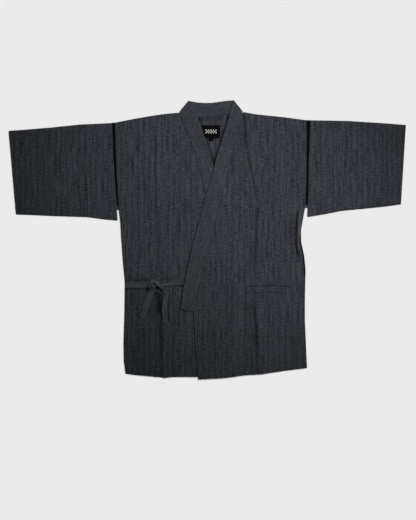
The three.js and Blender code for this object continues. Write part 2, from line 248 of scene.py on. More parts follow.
def settle(points, thick):
    """Adds a laid piece, given by the middle of its wall, to the land."""
    global land
    gx, gy = cells_of(points[..., 0], points[..., 1])
    layer = np.full(land.shape, -1.0)
    np.maximum.at(layer, (np.round(gy).astype(int), np.round(gx).astype(int)), points[..., 2] + thick / 2)
    land = np.maximum(land, spread(layer, 1))


def smooth(t):
    t = np.clip(t, 0, 1)
    return t * t * (3 - 2 * t)


def noise(x, y, cell_x, cell_y, seed):
    """Smooth noise from -1 to 1, with cells of a given size."""
    size, middle = 1024, 500.0
    gx, gy = x / cell_x + middle, y / cell_y + middle
    lattice = np.random.default_rng(seed).uniform(-1, 1, (size, size))
    i, j = np.floor(gy).astype(int), np.floor(gx).astype(int)
    fy, fx = smooth(gy - i), smooth(gx - j)
    i, j = i % (size - 1), j % (size - 1)
    low = lattice[i, j] * (1 - fx) + lattice[i, j + 1] * fx
    high = lattice[i + 1, j] * (1 - fx) + lattice[i + 1, j + 1] * fx
    return low * (1 - fy) + high * fy


def from_path(x, y, path):
    """Distance from a path, positive on its right as it is drawn, and the share of it that is nearest."""
    path = np.array(path, float)
    reached = lengths(path)
    best, side, share = np.full(x.shape, 1e9), np.zeros(x.shape), np.zeros(x.shape)
    for k in range(len(path) - 1):
        (ax, ay), (bx, by) = path[k], path[k + 1]
        dx, dy = bx - ax, by - ay
        t = np.clip(((x - ax) * dx + (y - ay) * dy) / (dx * dx + dy * dy), 0, 1)
        ox, oy = x - ax - t * dx, y - ay - t * dy
        far = np.hypot(ox, oy)
        near = far < best
        best = np.where(near, far, best)
        side = np.where(near, np.sign(ox * dy - oy * dx), side)
        share = np.where(near, (reached[k] + t * (reached[k + 1] - reached[k])) / reached[-1], share)
    return best * side, share


def folds(x, y, rows, seed):
    """Soft ridges and troughs. A row is: path, rise, half width to the left and to the right, taper.

    Left and right are as seen from above with the hem at the bottom; on a path across, left is above it.
    """
    height = np.zeros(x.shape)
    for k, (path, rise, left, right, taper) in enumerate(rows):
        downward = path[0][1] - path[-1][1] > abs(path[-1][0] - path[0][0])
        off, share = from_path(x, y, path[::-1] if downward else path)
        width = np.where(off < 0, left, right)
        ends = smooth(share / taper) * smooth((1 - share) / taper) if taper else 1
        uneven = 1 + 0.3 * noise(share * 100, share * 0, 14, 1, seed + k)
        height += rise * ends * uneven * np.exp(-((off / width) ** 2))
    return height


def loose(x, y, amount, seed):
    """Lift of cloth that nobody pressed: slow swells, and narrow puckers along the warp."""
    slow = noise(x, y, 75, 120, seed) + 0.6 * noise(x, y, 38, 90, seed + 1)
    pucker = 0.25 * noise(x, y, 9, 55, seed + 2) + 0.09 * noise(x, y, 5.5, 22, seed + 3)
    return amount * (1.1 + 0.6 * slow + pucker)


def hem_share(distance, depth=HEM):
    """1 where a hem doubles the cloth, down to 0 beyond it."""
    return smooth((depth + 2 - distance) / 3)


def hem_line(distance, depth=HEM):
    """The faint dent where a hem is stitched down."""
    return -0.3 * np.exp(-(((distance - depth) / 1.8) ** 2))


def raised(flat, z):
    return np.concatenate([flat, z[..., None]], axis=-1)


# ---- Meshes ----
def make_mesh(name, points, faces, weave, dark=None, rounded=True):
    """A mesh with its place on the weave, in millimetres, and a dark value on each point: painted shade above
    0, painted highlight below 0.
    """
    mesh = bpy.data.meshes.new(name)
    mesh.from_pydata((points * MM).tolist(), [], faces.tolist())
    layer = mesh.uv_layers.new(name="weave")
    layer.data.foreach_set("uv", (weave[faces.ravel()] / WEAVE_UNIT).ravel())
    # dark value: painted shade above 0, painted highlight below 0
    if dark is not None:
        attribute = mesh.attributes.new("dark", "FLOAT", "POINT")
        attribute.data.foreach_set("value", dark.astype(np.float32))
    if rounded:
        mesh.shade_smooth()
    piece = bpy.data.objects.new(name, mesh)
    bpy.context.scene.collection.objects.link(piece)
    return piece


def shell(name, middle, thick, weave=None, dark=None, loops=False):
    """Closes a grid of points, the middle of a cloth, into a thin wall with round edges."""
    rows, cols = middle.shape[:2]
    thick = np.broadcast_to(thick, (rows, cols))[..., None]
    ahead = np.roll(middle, -1, axis=0) - np.roll(middle, 1, axis=0) if loops else np.gradient(middle, axis=0)
    normal = np.cross(np.gradient(middle, axis=1), ahead)
    normal /= np.maximum(np.linalg.norm(normal, axis=2, keepdims=True), 1e-9)
    outer, inner = middle + normal * thick / 2, middle - normal * thick / 2
    numbers = np.arange(rows * cols).reshape(rows, cols)
    low, high = numbers, numbers + rows * cols
    if loops:
        low, high = np.vstack([low, low[:1]]), np.vstack([high, high[:1]])

    def faces(grid):
        return np.stack([grid[:-1, :-1], grid[:-1, 1:], grid[1:, 1:], grid[1:, :-1]], axis=-1).reshape(-1, 4)

    quads = [faces(high), faces(low)[:, ::-1]]
    points = [inner.reshape(-1, 3), outer.reshape(-1, 3)]
    count = 2 * rows * cols
    if loops:
        for at, beside, way in ((0, 1, -1), (-1, -2, 1)):
            low_line, high_line = low[:, at], high[:, at]
            out = middle[:, at] - middle[:, beside]
            out = out / np.maximum(np.linalg.norm(out, axis=1, keepdims=True), 1e-9)
            index = count + np.arange(rows)
            count += rows
            points.append(out * thick[:, at] / 2 + (inner[:, at] + outer[:, at]) / 2)
            index = np.append(index, index[0])
            for a, b in ((low_line, index), (index, high_line)):
                strip = np.stack([a[:-1], a[1:], b[1:], b[:-1]], axis=-1)
                quads.append(strip if way > 0 else strip[:, ::-1])
    else:
        loop = np.concatenate([numbers[0, :-1], numbers[:-1, -1], numbers[-1, :0:-1], numbers[:0:-1, 0]])
        around = middle.reshape(-1, 3)[loop]
        tangent = np.roll(around, -1, axis=0) - np.roll(around, 1, axis=0)
        out = np.cross(tangent, normal.reshape(-1, 3)[loop])
        out /= np.maximum(np.linalg.norm(out, axis=1, keepdims=True), 1e-9)
        points.append(around + out * thick.reshape(-1, 1)[loop] / 2)
        index = count + np.arange(len(loop))
        for a, b in ((loop, index), (index, loop + rows * cols)):
            a2, b2 = np.roll(a, -1), np.roll(b, -1)
            quads.append(np.stack([a, a2, b2, b], axis=-1))
    points = np.concatenate(points)
    extra = len(points) - 2 * rows * cols

    def per_point(values):
        flat = values.reshape(rows * cols, -1)
        if loops:
            rim = np.concatenate([values[:, 0], values[:, -1]]).reshape(extra, -1)
        else:
            rim = flat[loop]
        return np.concatenate([flat, flat, rim])

    weave = per_point(weave if weave is not None else middle[..., :2])
    # painted shade and painted highlight, carried to every point of the wall
    dark = None if dark is None else per_point(dark)[:, 0]
    return make_mesh(name, points, np.concatenate(quads), weave, dark)


def roll_down(z, distance, radius=2.6):
    """Height of cloth that is folded down over its edge, at a distance from it."""
    share = np.clip(1 - distance / radius, 0, 1)
    return z - (1 - np.sqrt(1 - share**2)) * (z - CLOTH / 2)


# ---- Materials ----
class Nodes:
    """Short names for the shader nodes that the cloths share."""

    def __init__(self, name):
        self.material = bpy.data.materials.new(name)
        self.material.use_nodes = True
        self.tree = self.material.node_tree
        self.shader = self.tree.nodes["Principled BSDF"]

    def add(self, kind, values=(), **settings):
        made = self.tree.nodes.new(kind)
        for key, value in settings.items():
            setattr(made, key, value)
        for key, value in dict(values).items():
            if isinstance(value, bpy.types.NodeSocket):
                self.tree.links.new(value, made.inputs[key])
            else:
                made.inputs[key].default_value = value
        return made

    def math(self, operation, a, b=0.0, c=0.0):
        return self.add("ShaderNodeMath", {0: a, 1: b, 2: c}, operation=operation).outputs[0]

    def weave(self):
        """Coordinates on the cloth in millimetres: x across the warp, y along it."""
        uv = self.add("ShaderNodeUVMap", uv_map="weave").outputs[0]
        unit = (WEAVE_UNIT, WEAVE_UNIT, 1)
        return self.add("ShaderNodeVectorMath", {0: uv, 1: unit}, operation="MULTIPLY").outputs[0]

    def noise(self, vector, cell_x, cell_y, detail=1.0, shift=0.0):
        """Noise with cells of a size in millimetres."""
        places = {0: vector, 1: (1 / cell_x, 1 / cell_y, 1), 2: (shift, shift, 0)}
        at = self.add("ShaderNodeVectorMath", places, operation="MULTIPLY_ADD").outputs[0]
        values = {"Vector": at, "Scale": 1.0, "Detail": detail, "Roughness": 0.6}
        return self.add("ShaderNodeTexNoise", values, noise_dimensions="2D").outputs["Fac"]

    def mix(self, factor, a, b):
        made = self.add("ShaderNodeMix", {"Factor": factor}, data_type="RGBA")
        for socket, value in ((made.inputs[6], a), (made.inputs[7], b)):
            if isinstance(value, bpy.types.NodeSocket):
                self.tree.links.new(value, socket)
            else:
                socket.default_value = (*value, 1)
        return made.outputs[2]

    def color(self, value):
        self.tree.links.new(value, self.shader.inputs["Base Color"])

    def bump(self, height, strength, distance):
        made = self.add("ShaderNodeBump", {"Height": height, "Strength": strength, "Distance": distance})
        self.tree.links.new(made.outputs[0], self.shader.inputs["Normal"])

    def set(self, **values):
        for key, value in values.items():
            self.shader.inputs[key.replace("_", " ")].default_value = value


def cotton_material(name, light, dark, stripe, streak, seed):
    """Yarn-dyed crinkled cotton: light and dark yarns in streaks along the warp, with a faint wide stripe.

    Painted shade from the mesh's dark value is mixed in last, because the shallow folds need more contrast
    than the light gives; below 0 that value mixes in a painted highlight instead.
    """
    stripe_width, most_sway = 17.0, 5.0  # in millimetres, and in radians of the stripe
    n = Nodes(name)
    at = n.weave()
    yarn = n.noise(at, 1.8, 5.0, 2.0, seed)
    slub = n.noise(at, 2.0, 62, 1.0, seed + 7)
    weft = n.noise(at, 15.0, 2.6, 1.0, seed + 13)
    band = n.noise(at, 16, 420, 1.0, seed + 19)
    x = n.add("ShaderNodeSeparateXYZ", {0: at}).outputs[0]
    sway = n.math("MULTIPLY", n.noise(at, 60, 150, 1.0, seed + 23), most_sway)
    turn = n.math("MULTIPLY_ADD", x, 2 * math.pi / stripe_width, sway)
    third = n.math("SINE", n.math("MULTIPLY_ADD", turn, 3.0, 1.0))
    wave = n.math("MULTIPLY_ADD", third, 0.55, n.math("SINE", turn))
    mixed = n.math("MULTIPLY_ADD", yarn, streak, 0.5 - 0.5 * streak)
    mixed = n.math("MULTIPLY_ADD", slub, 0.8 * streak, n.math("SUBTRACT", mixed, 0.4 * streak))
    mixed = n.math("MULTIPLY_ADD", weft, 0.6 * streak, n.math("SUBTRACT", mixed, 0.3 * streak))
    mixed = n.math("MULTIPLY_ADD", band, 0.25, n.math("SUBTRACT", mixed, 0.125))
    mixed = n.math("MULTIPLY_ADD", wave, stripe, mixed)
    mixed = n.add("ShaderNodeClamp", {0: mixed}).outputs[0]
    # painted shade (dark value above 0) and painted highlight (dark value below 0), read from each mesh
    shade = n.add("ShaderNodeAttribute", attribute_name="dark").outputs["Fac"]
    pale = n.add("ShaderNodeClamp", {0: n.math("MULTIPLY", shade, -1.0)}).outputs[0]
    # painted highlight: the cloth turns paler where the dark value is below 0
    cloth_with_painted_highlight = n.mix(pale, n.mix(mixed, dark, light), tuple(1.25 * c for c in light))
    # painted shade: the cloth turns near black where the dark value is above 0
    n.color(n.mix(n.add("ShaderNodeClamp", {0: shade}).outputs[0], cloth_with_painted_highlight, tuple(0.25 * c for c in dark)))
    relief = n.math("MULTIPLY_ADD", weft, 0.5, n.math("ADD", yarn, n.math("MULTIPLY", slub, 0.7)))
    n.bump(relief, 0.8, 0.0006)
    n.set(Roughness=0.92, Specular_IOR_Level=0.25, Sheen_Weight=0.08, Sheen_Roughness=0.5)
    return n.material


def plain_cloth(name, color, cell=0.8, strength=0.5):
    """Woven thread of one colour with a fine even rib."""
    n = Nodes(name)
    at = n.weave()
    rib = n.noise(at, cell, cell * 3, 2.0)
    n.color(n.mix(rib, tuple(0.6 * c for c in color), tuple(1.4 * c for c in color)))
    n.bump(rib, strength, 0.0004)
    n.set(Roughness=0.9, Specular_IOR_Level=0.12)
    return n.material


COTTON = cotton_material("cotton", (0.079, 0.083, 0.099), (0.010, 0.0115, 0.0155), 0.085, 1.7, 0.0)
COLLAR_COTTON = cotton_material("collar_cotton", (0.082, 0.085, 0.1), (0.014, 0.0155, 0.0195), 0.0, 1.3, 40.0)
TAPE_COTTON = cotton_material("tie_cotton", (0.1, 0.107, 0.12), (0.016, 0.0185, 0.022), 0.0, 1.4, 80.0)
LACE = plain_cloth("lace_thread", (0.0012, 0.0012, 0.0015))
LABEL = plain_cloth("label_satin", (0.0016, 0.0016, 0.0019), 0.5)
THREAD = plain_cloth("sewing_thread", (0.03, 0.032, 0.038), 0.5)
MOTIF = plain_cloth("label_motif", (0.7, 0.7, 0.68), 0.5, 0.3)


def finish_piece(piece, material, slot, *nodes):
    piece.data.materials.append(material)
    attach(piece, "root")
    if nodes:
        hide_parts(*nodes)
    return piece


# ---- Collar band ----
# The collar's seam and free edge, in facing pairs: the under stretch from its hidden end up to the neck
# point, the stretch behind the neck, and the over stretch from the neck point down to its end.
UNDER_SEAM = [(82, -184), (62, -110), (40, -30), (18, 52), (-2, 128), (-16, 180), (-24, 212), (-31, 240),
              (-44, 274), (-57, 305), (-68, 332), (-76, 352)]
UNDER_FREE = [(125, -176), (104, -99), (82, -19), (60, 64), (40, 139), (24, 190), (16, 220), (8, 250),
              (-5, 290), (-17, 324), (-28, 357), (-43, 388)]
NECK_SEAM = [(-60, 356), (-36, 351.5), (-12, 350), (14, 353), (37, 357), (54, 360), (80, 364)]
NECK_FREE = [(-40, 397.5), (-28, 395), (-12, 394), (10, 393.5), (30, 396), (47, 399), (63, 400.5)]
OVER_SEAM = [(99, 350), (91, 320), (82, 288), (75, 262), (62, 204), (50, 155), (36, 100), (24, 52), (12, 5),
             (0, -42), (-13, -90), (-24, -135), (-34, -180), (-38, -208)]
OVER_FREE = [(65, 362), (57, 332), (46, 300), (38, 275), (21, 215), (8, 164), (-8, 110), (-21, 62),
             (-34, 14), (-47, -34), (-58, -84), (-67, -129), (-75, -178), (-77, -201)]
NECK_RIGHT, CORNER_RIGHT = (-82, 366), (-54, 400)
NECK_LEFT, CORNER_LEFT = (104, 368), (77, 401.5)


def stretch(seam, free):
    """Fine, rounded copies of two facing edges."""
    seam, free = np.array(seam, float), np.array(free, float)
    middle = lengths((seam + free) / 2)
    count = max(3, round(middle[-1] / STEP))
    at = np.linspace(0, middle[-1], count)
    fine = [np.stack([np.interp(at, middle, edge[:, k]) for k in (0, 1)], axis=-1) for edge in (seam, free)]
    for _ in range(12):
        for edge in fine:
            edge[1:-1] = (edge[:-2] + 2 * edge[1:-1] + edge[2:]) / 4
    return fine


def band_grid(seam, free, across):
    """Points across the band, as far inside its two edges as the wall needs to be round."""
    at_seam, at_free = SEWN * BAND / 2 / BAND_WIDTH, (BAND / 2 + EDGE_IN) / BAND_WIDTH
    share = at_seam + np.asarray(across) * (1 - at_seam - at_free)
    return seam[:, None] * (1 - share[None, :, None]) + free[:, None] * share[None, :, None]


ACROSS_BAND = grid_shares(BAND_WIDTH, 3.4)


def laid_band(seam, free, reach, lift, seed, away_from_start=0.0, away_from_end=0.0):
    """A stretch of the collar at rest on the land; its lift dies out towards a neck fold."""
    flat = band_grid(seam, free, ACROSS_BAND)
    x, y = flat[..., 0], flat[..., 1]
    run = lengths((seam + free) / 2)[:, None]
    ease = smooth(run / away_from_start) if away_from_start else 1
    ease = ease * (smooth((run[-1] - run) / away_from_end) if away_from_end else 1)
    across = np.broadcast_to(ACROSS_BAND[None, :], x.shape)
    u, v = run + 0 * x, across * BAND_WIDTH
    soft = 0.5 * noise(u, v, 30, 30, seed) + 0.3 * noise(u, v, 11, 40, seed + 1)
    crown = 0.5 * np.sin(np.pi * across)
    sewn = -0.45 * np.exp(-(((v - 3.2) / 1.6) ** 2))
    z = sample(draped(reach), x, y) + BAND / 2 + ease * np.maximum(lift(across, run) + soft + crown + sewn, 0)
    return raised(flat, z)


def neck_fold(neck, corner, turns):
    """The band folded over at a neck point, from the upper layer (0 degrees) to the lower (180)."""
    neck, corner = np.array(neck, float), np.array(corner, float)
    reach = np.linalg.norm(corner - neck)
    out = np.array([corner[1] - neck[1], neck[0] - corner[0]]) / reach
    out *= np.sign(out[0] * neck[0])
    start = neck + (corner - neck) * 2.0 / reach
    line = start + (corner - start) * np.asarray(ACROSS_BAND)[:, None]
    radius = (BAND + GAP) / 2
    rows = []
    for turn in np.radians(turns):
        shift = radius * math.sin(turn) - radius - BAND / 2
        z = BAND / 2 + radius * (1 + math.cos(turn))
        rows.append(np.concatenate([line + out * shift, np.full((len(line), 1), z)], axis=1))
    return np.array(rows)


def size_of(edges):
    """Mean width and mean height between four edges."""
    bottom, top, left, right = (lengths(edges[name])[-1] for name in ("bottom", "top", "left", "right"))
    return (bottom + top) / 2, (left + right) / 2


def body_grid(node, corners=DIAGONALS, step=(STEP, STEP), edges=None):
    """A flat grid inside a panel's outline, with its distances from the left and the bottom edge."""
    edges = edges or edges_of(node, corners)
    width, height = size_of(edges)
    inset = CLOTH / 2 + EDGE_IN
    across, along = grid_shares(width, step[0], inset), grid_shares(height, step[1], inset)
    return patch(edges, across, along), across * width, along * height, width, height


# ---- Back and label ----
BACK_FOLDS = [
    ([(-2, 340), (6, 300), (14, 230)], 0.9, 7, 9, 0.3),
    ([(30, 352), (33, 300), (24, 240)], 0.7, 5, 8, 0.3),
    ([(48, 345), (40, 292)], 0.6, 6, 5, 0.3),
]
# Painted shadow on the back: along both collar edges in the neck opening, in the opening's lower part, and
# under the neck band.
BACK_SHADE = [
    ([(-39, 384), (-26, 357), (-15, 324), (-3, 290), (10, 250), (18, 220), (22, 190)], 0.85, 3.5, 3.5, 0),
    ([(63, 362), (55, 332), (44, 300), (36, 275), (20, 215), (12, 180)], 0.85, 3.5, 3.5, 0),
    ([(24, 232), (20, 190)], 0.6, 9, 9, 0),
    ([(-40, 349), (14, 346), (60, 352)], 0.4, 3, 5, 0),
]


def make_back():
    """The panel on the table. It lies flat except in the neck opening, where it shows."""
    edges = edges_of("back")
    top = edges["top"]
    shoulder = (top[:, 0] < NECK_RIGHT[0] + 0.5) | (top[:, 0] > NECK_LEFT[0] - 0.5)
    top[shoulder, 1] -= TURN_IN
    top[~shoulder, 1] += 1.6
    for name, way in (("left", 1), ("right", -1)):
        edges[name][:, 0] += way * TURN_IN
    edges["bottom"][0], edges["bottom"][-1] = edges["left"][0], edges["right"][0]
    edges["top"][0], edges["top"][-1] = edges["left"][-1] - (0, TURN_IN), edges["right"][-1] - (0, TURN_IN)
    edges["left"][-1], edges["right"][-1] = edges["top"][0], edges["top"][-1]
    flat, _, along, *_ = body_grid("back", edges=edges, step=(3.0, 4.0))
    x, y = flat[..., 0], flat[..., 1]
    hem = hem_share(along)[:, None]
    thick = np.broadcast_to(CLOTH * (1 + 0.5 * hem), x.shape)
    shown = smooth((y - 180) / 30) * smooth((90 - np.abs(x - 15)) / 30)
    lift = shown * (0.5 + 0.3 * noise(x, y, 12, 40, 3) + folds(x, y, BACK_FOLDS, 5))
    middle = raised(flat, thick / 2 + np.maximum(lift, 0))
    settle(middle, thick.max())
    # painted shadow from the collar edges and the neck band
    dark = np.clip(folds(x, y, BACK_SHADE, 20), 0, 1)
    return finish_piece(shell("back_cloth", middle, thick, dark=dark), COTTON, "cotton", "back")


def make_label():
    """Woven label laid flat, with a plain chequer woven in; its two ends, turned under and sewn down, are not
    shaped.
    """
    low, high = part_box("label")
    left, bottom, right, top = low.x / MM, low.y / MM, high.x / MM, high.y / MM
    xs = left + grid_shares(right - left, 2.0) * (right - left)
    ys = bottom + grid_shares(top - bottom, 2.0) * (top - bottom)
    x, y = np.meshgrid(xs, ys)
    thick = LABEL_THICK
    z = sample(draped(4), x, y) + thick / 2 + 0.1 + 0.25 * (1 + noise(x, y, 18, 12, 31))
    middle = np.stack([x, y, z], axis=-1)
    settle(middle, thick)
    finish_piece(shell("neck_label", middle, thick), LABEL, "label", "label")

    size, rows, cols = 3.6, 3, 9
    from_x, from_y = (left + right) / 2 - cols * size / 2, (bottom + top) / 2 - rows * size / 2
    points, quads = [], []
    for row in range(rows):
        for col in range(row % 2, cols, 2):
            x0, y0 = from_x + col * size, from_y + row * size
            corners = np.array([(x0, y0), (x0 + size, y0), (x0 + size, y0 + size), (x0, y0 + size)])
            z0 = sample(land, corners[:, 0], corners[:, 1])
            start = len(points)
            points += [(*p, h + up) for up in (0.05, 0.25) for p, h in zip(corners, z0)]
            quads += [[start + k for k in face] for face in
                      ((4, 5, 6, 7), (3, 2, 1, 0), (0, 1, 5, 4), (1, 2, 6, 5), (2, 3, 7, 6), (3, 0, 4, 7))]
    points, quads = np.array(points), np.array(quads)
    chequer = make_mesh("label_chequer", points, quads, points[:, :2])
    finish_piece(chequer, MOTIF, "label")

    low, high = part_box("size_tab")
    xs, ys = np.linspace(low.x / MM, high.x / MM, 7), np.linspace(low.y / MM, high.y / MM, 5)
    x, y = np.meshgrid(xs, ys)
    middle = np.stack([x, y, sample(draped(4), x, y) + thick / 2 + 0.1], axis=-1)
    settle(middle, thick)
    finish_piece(shell("size_label", middle, thick), LABEL, "label", "size_tab")


# ---- Fronts, collar and pocket ----
FRONT_RIGHT_FOLDS = [
    # pressed fold down the middle, sharp from the knot to the hem
    ([(-146, 350), (-145, 290), (-144, 110), (-136, 36), (-134, -110)], 1.3, 4, 13, 0.08),
    ([(-149, 350), (-149, 290), (-148, 110), (-140, 36), (-138, -110)], -1.0, 5, 2.5, 0.08),
    ([(-126, -150), (-126, -250), (-125, -300), (-122, -398)], 2.3, 4, 16, 0.0),
    ([(-133, -146), (-132, -250), (-131, -300), (-129, -398)], -1.6, 9, 2.5, 0.0),
    ([(-147, -150), (-146, -260), (-142, -396)], 0.8, 7, 7, 0.05),
    # drag towards the knot
    ([(-236, -60), (-205, -95), (-172, -112)], 1.2, 6, 7, 0.4),
    ([(-238, -100), (-205, -108), (-178, -116)], 0.9, 5, 5, 0.4),
    ([(-120, -60), (-135, -90), (-146, -112)], 1.1, 6, 5, 0.4),
    ([(-80, -95), (-105, -105), (-132, -116)], 0.9, 5, 4, 0.4),
    ([(-234, -160), (-205, -152), (-175, -143)], 0.9, 6, 5, 0.4),
    ([(-210, -240), (-195, -190), (-176, -150)], 0.8, 7, 6, 0.4),
    ([(-90, -215), (-100, -170), (-112, -140)], 0.9, 7, 6, 0.4),
    ([(-70, -300), (-78, -230), (-74, -190)], 0.9, 6, 8, 0.4),
    # soft press lines across, and falls from the shoulder
    ([(-143, 214), (-95, 218), (-43, 224)], 0.6, 4, 4, 0.3),
    ([(-240, 60), (-180, 40), (-120, 52)], 0.6, 6, 6, 0.4),
    ([(-238, -235), (-190, -240), (-140, -236)], 0.5, 5, 5, 0.3),
    ([(-230, 330), (-226, 240), (-236, 150)], 0.8, 9, 9, 0.4),
    ([(-190, 345), (-196, 260), (-190, 200)], 0.7, 8, 8, 0.4),
    ([(-100, 350), (-92, 290), (-74, 240)], 0.8, 8, 8, 0.4),
    ([(-70, 230), (-62, 150), (-66, 60)], 0.7, 8, 9, 0.4),
    ([(-220, 20), (-214, -60), (-218, -100)], 0.8, 8, 8, 0.4),
    ([(-215, -270), (-210, -330), (-213, -380)], 0.9, 8, 8, 0.3),
    ([(-180, -250), (-183, -320), (-178, -385)], 0.7, 7, 7, 0.3),
    ([(-95, -250), (-98, -320), (-92, -390)], 0.7, 7, 8, 0.3),
    ([(-50, -240), (-55, -320), (-48, -390)], 0.8, 7, 7, 0.3),
]
# Painted shade on the right front: in the pressed fold below the knot, contact shadows round the knot and
# both tails and above and below the side tie, a line beside the upper pressed fold, and a broad darkening
# below the tie.
FRONT_RIGHT_SHADE = [
    ([(-134, -150), (-132.5, -250), (-131.5, -300), (-130, -398)], 0.65, 8.5, 1.8, 0.03),
    ([(-139, -146), (-138, -172), (-136, -215)], 0.6, 12, 5, 0.2),
    ([(-150, -144), (-143, -158)], 0.35, 8, 8, 0.2),
    ([(-149, 290), (-148, 110), (-140, 36), (-138, -110)], 0.22, 4, 2, 0.1),
    ([(-190, -104), (-176, -112), (-168, -117)], 0.4, 3, 3, 0.3),
    ([(-237, -142), (-200, -142), (-166, -141)], 0.35, 3, 5, 0.04),
    ([(-237, -119), (-200, -118), (-166, -117)], 0.35, 5, 4, 0.04),
    ([(-163, -141), (-171, -165), (-185, -195), (-197, -224)], 0.4, 3.5, 3.5, 0.05),
    ([(-147, -146), (-156, -176), (-169, -206), (-179, -232)], 0.45, 3.5, 3.5, 0.05),
    ([(-108, -150), (-110.5, -178), (-111.5, -205), (-112, -240)], 0.75, 2.6, 3.2, 0.1),
    ([(-150, -116), (-110, -112), (-74, -109)], 0.2, 5, 4, 0.2),
    ([(-200, -170), (-196, -280), (-198, -392)], 0.15, 34, 40, 0),
]


def make_front_right():
    """The front that lies under: side seam and shoulder folded down to the table, the far edge hidden."""
    flat, across, along, _, height = body_grid("front_right", UNDER_CORNERS, FINE)
    x, y = flat[..., 0], flat[..., 1]
    hem = hem_share(along)[:, None]
    thick = CLOTH * (1 + 0.6 * hem) + 0 * x
    lift = loose(x, y, 1.0, 11) + folds(x, y, FRONT_RIGHT_FOLDS, 100) + hem_line(along)[:, None]
    support = sample(draped(6), x, y)
    z = support + thick / 2 + np.maximum(lift, 0.02)
    z = roll_down(z, np.broadcast_to(across[None, :], x.shape))
    z = roll_down(z, np.broadcast_to((height - along)[:, None], x.shape))
    middle = raised(flat, z)
    settle(middle, CLOTH)
    # painted shade in the folds and round the ties
    dark = np.clip(folds(x, y, FRONT_RIGHT_SHADE, 100), -1, 1)
    return finish_piece(shell("front_right_cloth", middle, thick, dark=dark), COTTON, "cotton", "front_right")


def make_collar():
    """The whole band as one piece. Also returns its over stretch, which settles after the left front."""
    under_seam, under_free = stretch(UNDER_SEAM, UNDER_FREE)
    over_seam, over_free = stretch(OVER_SEAM, OVER_FREE)
    neck_seam, neck_free = stretch(NECK_SEAM, NECK_FREE)
    behind = laid_band(neck_seam, neck_free, 3, lambda across, run: 0.3 + 0 * run, 41, 20, 20)
    settle(np.concatenate([neck_fold(NECK_RIGHT, CORNER_RIGHT, [180]), behind,
                           neck_fold(NECK_LEFT, CORNER_LEFT, [180])]), BAND)
    under = laid_band(under_seam, under_free, 7, lambda across, run: 0.1 + 1.1 * across**2 + 0 * run, 43,
                      away_from_end=30)
    settle(under, BAND)

    def over_lift(across, run):
        """The free edge stands up most between its middle and its end."""
        stand = 1.9 * smooth((run - 260) / 150) * smooth((585 - run) / 50 + 0.1)
        return 0.15 + (0.4 + stand) * across**2

    over = laid_band(over_seam, over_free, 8, over_lift, 45, away_from_start=30)
    turns = np.linspace(0, 180, 9)
    middle = np.concatenate([under, neck_fold(NECK_RIGHT, CORNER_RIGHT, turns), behind,
                             neck_fold(NECK_LEFT, CORNER_LEFT, turns[::-1]), over])
    run = lengths(middle.mean(axis=1))
    weave = np.stack(np.broadcast_arrays(ACROSS_BAND[None, :] * BAND_WIDTH, run[:, None]), axis=-1)
    thick = BAND * (SEWN + (1 - SEWN) * smooth(ACROSS_BAND * BAND_WIDTH / 11))[None, :] + 0 * run[:, None]
    thick = thick * (SEWN + (1 - SEWN) * smooth((run[-1] - run) / 12))[:, None]
    middle[..., 2] -= (BAND - thick) / 2 * (middle[..., 2] > 0)
    collar = shell("collar_band", middle, thick, weave)
    return finish_piece(collar, COLLAR_COTTON, "collar_cotton", "collar"), over


FRONT_LEFT_FOLDS = [
    # pressed fold from the shoulder to the hem, with its dark side towards the middle
    ([(104, 366), (109, 345), (109.5, 311), (111, 271), (116, 239), (127, 190), (142, 109)],
     -1.9, 5, 2.5, 0.04),
    ([(111, 362), (116, 345), (115.5, 311), (117, 271), (122, 239), (133, 190), (148, 109)],
     1.7, 3, 11, 0.04),
    ([(97, 345), (103, 300), (110, 265), (117, 200)], 1.2, 8, 3.5, 0.25),
    ([(111, 362), (116, 348), (122, 332)], -1.3, 3, 2.5, 0.2),
    ([(142, 109), (142, 46), (139, -43), (133, -120)], -1.5, 6, 2.2, 0.12),
    ([(148, 115), (148, 46), (145, -43), (139, -120)], 1.4, 3, 12, 0.12),
    ([(130, 110), (129, 46), (127, -30)], 1.0, 9, 5, 0.3),
    ([(133, -120), (138, -217), (144, -320), (146, -392)], -1.5, 9, 2.5, 0.08),
    ([(140, -120), (145, -217), (151, -320), (153, -392)], 2.2, 3.5, 16, 0.05),
    ([(112, -290), (118, -330), (120, -385)], 0.9, 8, 8, 0.2),
    # side pucker below the sleeve
    ([(265, 98), (260, 62), (257, 32), (256, 0), (257, -28), (263, -58)], -5.0, 2.4, 2.2, 0.28),
    ([(260, 104), (254, 62), (251, 32), (250, 0), (251, -28), (258, -66)], 3.0, 12, 4, 0.25),
    ([(272, 100), (267, 60), (264, 32), (263, 0), (265, -28), (271, -64)], 3.2, 4, 3, 0.25),
    # falls from the shoulder and soft swells
    ([(215, 345), (208, 260), (216, 180), (210, 120)], 0.9, 9, 9, 0.35),
    ([(250, 340), (254, 250), (246, 170)], 0.8, 8, 8, 0.35),
    ([(175, 350), (180, 280), (172, 200)], 0.7, 8, 8, 0.35),
    ([(70, 190), (78, 100), (66, 10)], 0.7, 9, 8, 0.35),
    ([(40, 60), (44, -40), (34, -120)], 0.7, 8, 9, 0.35),
    ([(196, 90), (204, 10), (198, -80)], 0.7, 9, 9, 0.35),
    ([(235, 60), (228, -10), (234, -90)], 0.9, 8, 8, 0.35),
    ([(20, -140), (28, -230), (18, -330)], 0.7, 9, 9, 0.35),
    ([(70, -120), (62, -220), (72, -330)], 0.6, 8, 9, 0.35),
    ([(-8, -230), (-12, -310), (-4, -395)], 0.8, 6, 8, 0.25),
    ([(210, -300), (206, -340), (212, -375)], 0.7, 8, 8, 0.3),
    ([(262, -150), (266, -250), (262, -350)], 0.8, 8, 7, 0.3),
    # press lines across
    ([(36, -286), (70, -284), (104, -285)], -0.8, 3, 2.5, 0.3),
    ([(30, 100), (90, 108), (150, 100)], 0.5, 5, 5, 0.3),
    ([(150, -30), (210, -24), (270, -34)], 0.5, 6, 6, 0.3),
]
